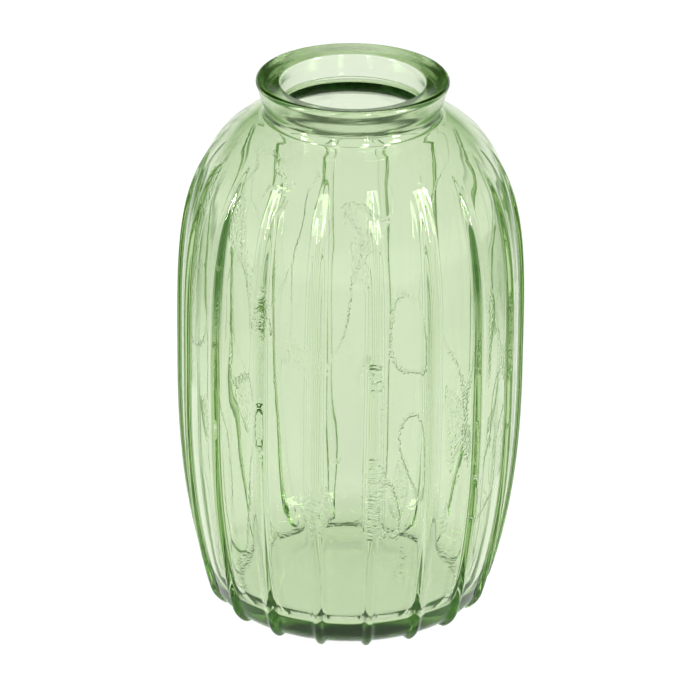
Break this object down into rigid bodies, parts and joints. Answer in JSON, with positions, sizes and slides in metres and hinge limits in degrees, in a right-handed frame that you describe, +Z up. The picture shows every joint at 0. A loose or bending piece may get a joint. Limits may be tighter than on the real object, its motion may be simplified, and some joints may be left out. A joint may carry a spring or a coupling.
{
  "type": "glass bud vase",
  "caption": "Small bottle-shaped bud vase in pale green mould-blown glass, with beaded vertical ribs, a round shoulder, a short flared collar and a thick rolled lip.",
  "frame": {"origin": "centre of the base, on the surface that the vase stands on", "axes": "+Z up along the vase's axis, out of its mouth; the front is -Y, and one rib lies on +X"},
  "size_m": [0.075, 0.0742, 0.121],
  "materials": {
    "green_glass": "clear pale yellow-green glass, fire-polished and glossy, faintly rippled inside, with a few tiny seeds"
  },
  "bodies": {
    "root": {"base": "green_glass", "body": "green_glass", "shoulder": "green_glass", "neck": "green_glass", "lip": "green_glass", "ribs": "green_glass"}
  },
  "joints": []
}
